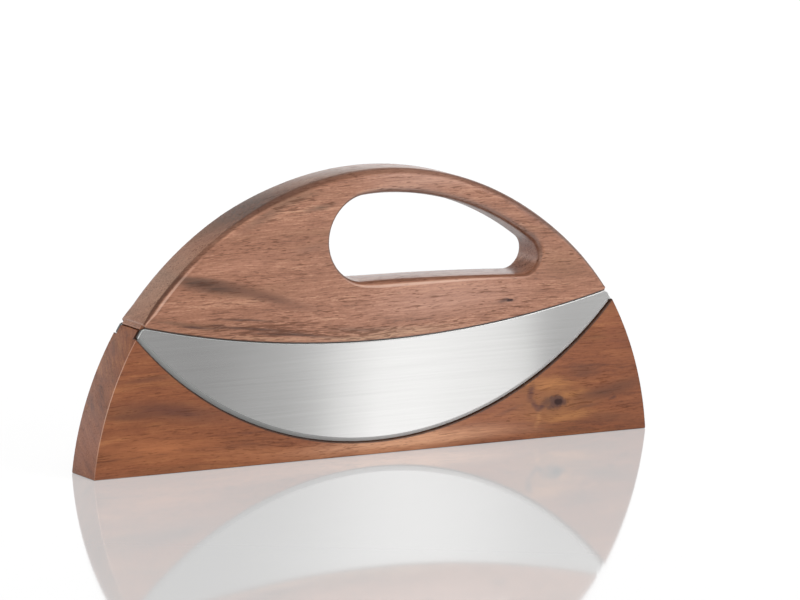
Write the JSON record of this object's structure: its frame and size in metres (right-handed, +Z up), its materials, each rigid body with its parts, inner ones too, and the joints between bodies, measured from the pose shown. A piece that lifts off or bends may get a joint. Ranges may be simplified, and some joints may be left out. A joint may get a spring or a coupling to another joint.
{
  "type": "double mezzaluna",
  "caption": "Double mezzaluna: arched wooden handle with a hand hole and crescent steel blades flush with its faces, lifting out of a wooden base that guards the edges.",
  "frame": {"origin": "middle of the base's underside, on the surface it stands on", "axes": "+X along the tool towards the narrow end of the hand hole, +Y from the front face to the back face, +Z up"},
  "size_m": [0.2898, 0.02, 0.1294],
  "materials": {
    "base_wood": "oiled open-pored hardwood, reddish brown",
    "handle_wood": "oiled open-pored hardwood, pinkish brown",
    "blade_steel": "brushed along the blade",
    "stud_steel": "turned"
  },
  "bodies": {
    "stand": {"base": "base_wood"},
    "tool": {"handle": "handle_wood", "front_blade": "blade_steel", "back_blade": "blade_steel", "front_stud_1": "stud_steel", "front_stud_2": "stud_steel", "front_stud_3": "stud_steel", "front_stud_4": "stud_steel", "back_stud_1": "stud_steel", "back_stud_2": "stud_steel", "back_stud_3": "stud_steel", "back_stud_4": "stud_steel"}
  },
  "joints": [
    {"name": "lift_out", "type": "slide", "parent": "stand", "child": "tool", "axis": [0, 0, 1], "range_m": [0, 0.08]}
  ]
}
